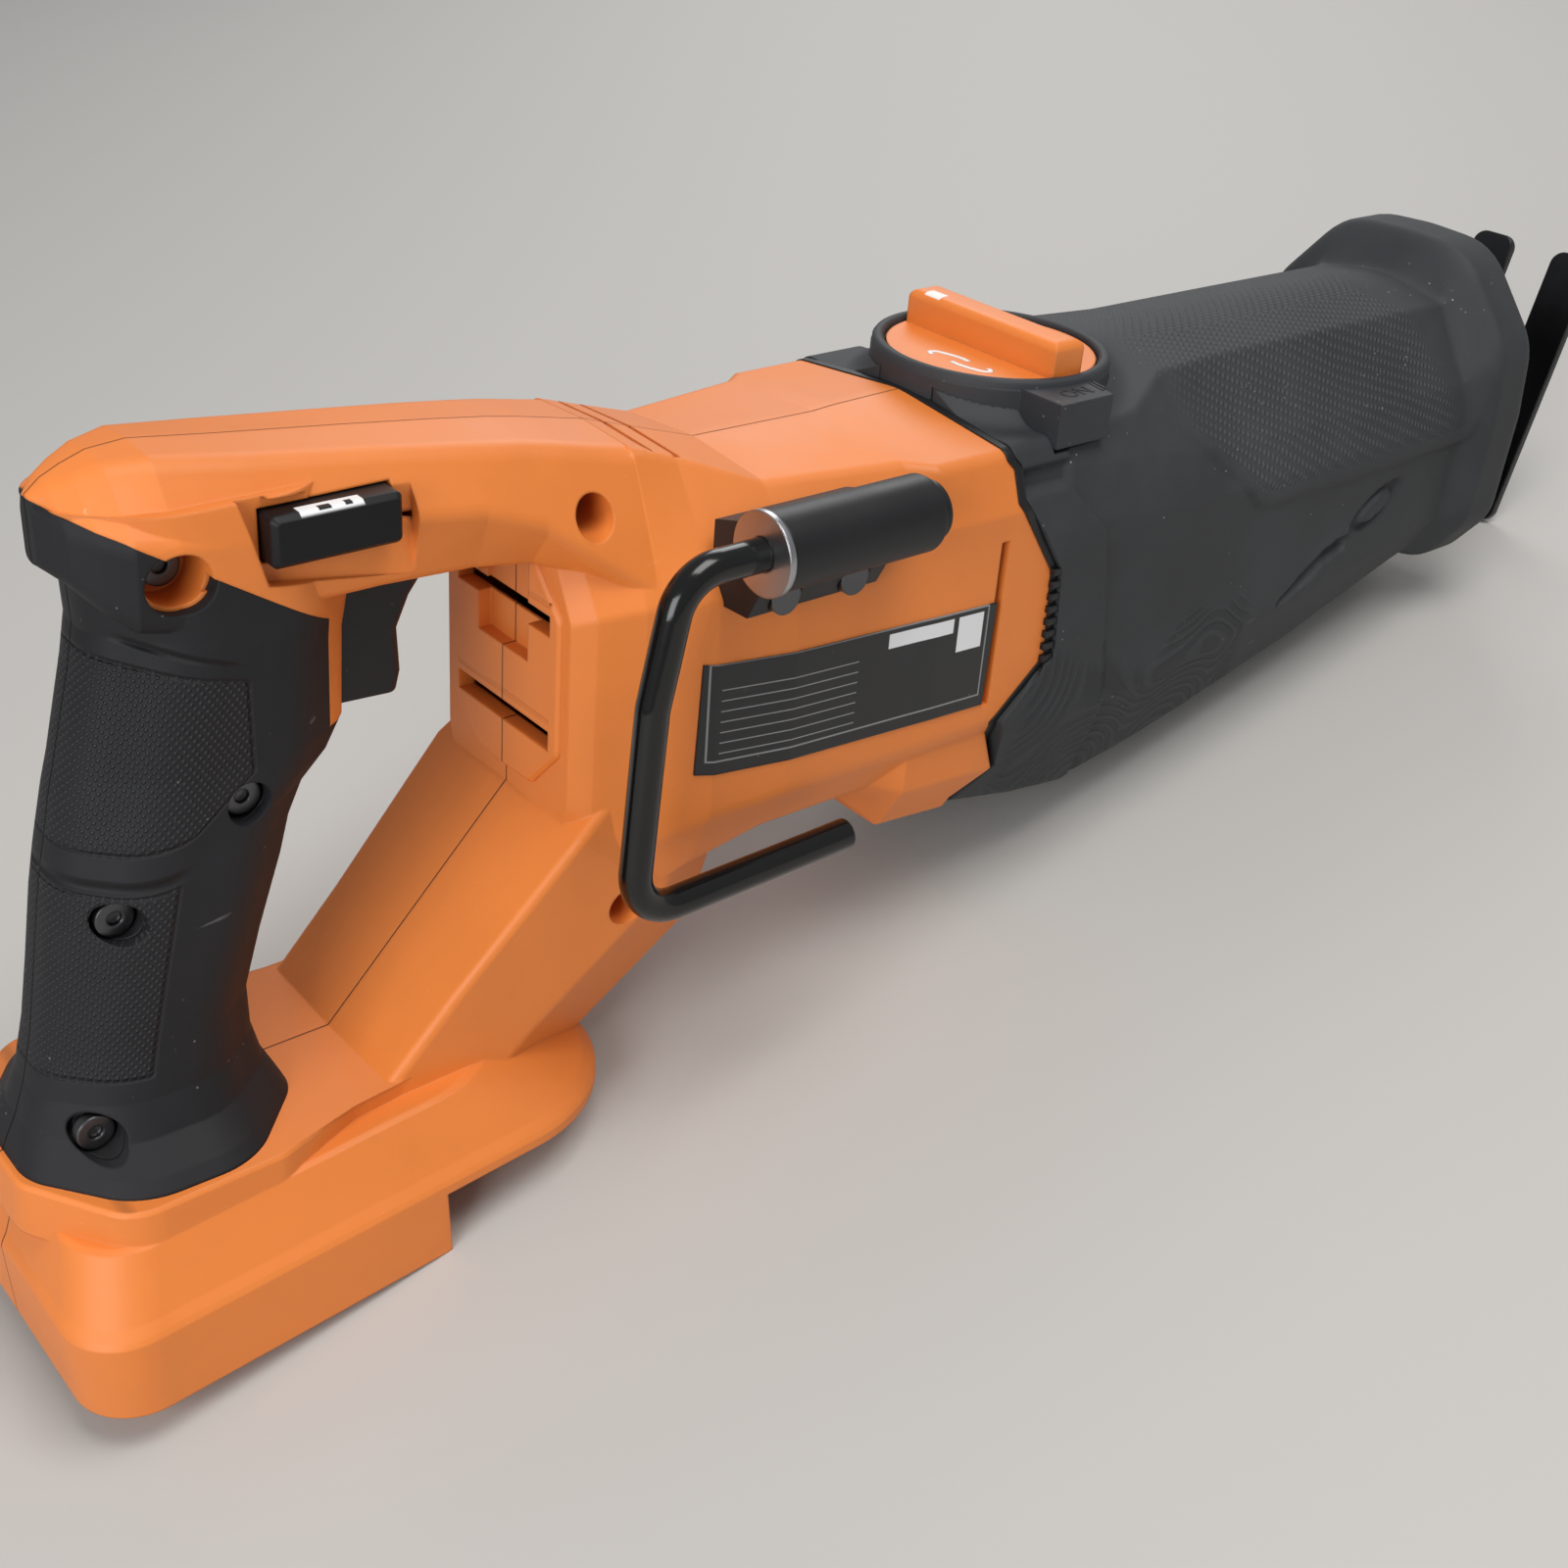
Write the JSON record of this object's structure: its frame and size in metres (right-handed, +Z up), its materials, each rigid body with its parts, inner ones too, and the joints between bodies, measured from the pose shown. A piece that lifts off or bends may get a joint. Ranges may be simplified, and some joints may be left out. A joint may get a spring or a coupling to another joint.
{
  "type": "reciprocating saw",
  "caption": "Cordless reciprocating saw with a D handle, rubber front boot, orbit dial, wire hook and pivoting shoe, without battery or blade.",
  "frame": {"origin": "centre of the bounding box on the surface that the saw rests on", "axes": "+X towards the blade end, +Y to the side away from the hook, +Z up; the saw leans nose down on its shoe"},
  "size_m": [0.5056, 0.0955, 0.1752],
  "materials": {
    "orange_plastic": "fine matte grain",
    "black_rubber": "soft textured overmould",
    "grey_rubber": "dusty moulded rubber",
    "black_plastic": "satin",
    "black_wire": "glossy paint",
    "black_steel": "blackened",
    "bright_steel": "ground",
    "cast_alloy": "die cast",
    "copper_iron": "laminated core with windings",
    "bronze": "sintered bronze",
    "clear_lens": "clear"
  },
  "bodies": {
    "housing": {"housing_right": "orange_plastic", "housing_left": "orange_plastic", "grip_rubber_right": "black_rubber", "grip_rubber_left": "black_rubber", "front_boot": "grey_rubber", "boot_gasket": "black_rubber", "gear_case_lower": "cast_alloy", "gear_case_upper": "cast_alloy", "dial_collar": "black_plastic", "stator": "copper_iron", "motor_end_bell": "black_plastic", "motor_bearings": "bright_steel", "gear_bearing": "bright_steel", "spindle_bushes": "bronze", "front_seal": "black_rubber", "work_lamp": "clear_lens", "hook_sleeve": "black_plastic", "hook_washer": "bright_steel", "hook_bracket": "black_plastic", "hook_screws": "bright_steel", "switch_module": "black_plastic", "trigger_spring": "black_plastic", "control_board": "black_plastic", "motor_wires": "black_rubber", "battery_terminals": "black_plastic", "housing_screws": "bright_steel", "case_screws": "bright_steel", "rating_plate": "black_plastic"},
    "rotor": {"rotor": "copper_iron", "motor_shaft": "bright_steel", "cooling_fan": "black_plastic", "pinion": "bright_steel"},
    "crown": {"crown_gear": "bright_steel"},
    "roller": {"crank_roller": "bright_steel"},
    "spindle": {"spindle": "bright_steel", "blade_clamp": "bright_steel"},
    "clamp_sleeve": {"clamp_sleeve": "black_plastic"},
    "dial": {"orbit_dial": "black_plastic", "orbit_cam": "black_plastic"},
    "hook": {"hook_wire": "black_wire"},
    "trigger": {"trigger": "black_plastic"},
    "lock_button": {"lock_off_button": "black_plastic"},
    "post": {"shoe_post": "black_steel"},
    "shoe": {"shoe": "black_steel", "shoe_pin": "bright_steel"},
    "release_button": {"shoe_release_button": "black_plastic"}
  },
  "joints": [
    {"name": "trigger_pull", "type": "slide", "parent": "housing", "child": "trigger", "axis": [-0.9826, 0, 0.1856], "range_m": [0, 0.006], "stiffness_N_per_m": 900, "springref_m": -0.004, "deforming": ["trigger_spring"]},
    {"name": "lock_off_slide", "type": "slide", "parent": "housing", "child": "lock_button", "axis": [0, 1, 0], "range_m": [0, 0.005]},
    {"name": "orbit_dial_turn", "type": "hinge", "parent": "housing", "child": "dial", "pos_m": [0.01868, 0.0042, 0.12171], "axis": [0.1856, 0, 0.9826], "range_deg": [0, 90]},
    {"name": "hook_fold", "type": "hinge", "parent": "housing", "child": "hook", "pos_m": [-0.08606, -0.0418, 0.1302], "axis": [0.9826, 0, -0.1856], "range_deg": [-100, 0]},
    {"name": "crown_spin", "type": "hinge", "parent": "housing", "child": "crown", "pos_m": [0.0524, 0.0042, 0.06313], "axis": [0.1856, 0, 0.9826], "continuous": true},
    {"name": "rotor_spin", "type": "hinge", "parent": "housing", "child": "rotor", "pos_m": [-0.09399, 0.0042, 0.08549], "axis": [0.9826, 0, -0.1856], "continuous": true},
    {"name": "roller_spin", "type": "hinge", "parent": "crown", "child": "roller", "pos_m": [0.0524, 0.0185, 0.06313], "axis": [0.1856, 0, 0.9826], "continuous": true},
    {"name": "spindle_stroke", "type": "slide", "parent": "housing", "child": "spindle", "axis": [0.9826, 0, -0.1856], "range_m": [-0.0143, 0.0143]},
    {"name": "clamp_sleeve_turn", "type": "hinge", "parent": "spindle", "child": "clamp_sleeve", "pos_m": [0.18897, 0.0042, 0.05342], "axis": [0.9826, 0, -0.1856], "range_deg": [0, 55], "stiffness_Nm_per_rad": 0.25, "springref_deg": -28.65},
    {"name": "shoe_reach", "type": "slide", "parent": "housing", "child": "post", "axis": [0.9826, 0, -0.1856], "range_m": [0, 0.018]},
    {"name": "shoe_tilt", "type": "hinge", "parent": "post", "child": "shoe", "pos_m": [0.21875, 0.0042, 0.02193], "axis": [0, 1, 0], "range_deg": [-12, 20]},
    {"name": "shoe_release_press", "type": "slide", "parent": "housing", "child": "release_button", "axis": [0.1856, 0, 0.9826], "range_m": [0, 0.003], "stiffness_N_per_m": 800, "springref_m": -0.003}
  ],
  "couplings": [
    {"joint": "rotor_spin", "follows": "crown_spin", "ratio": 6}
  ]
}
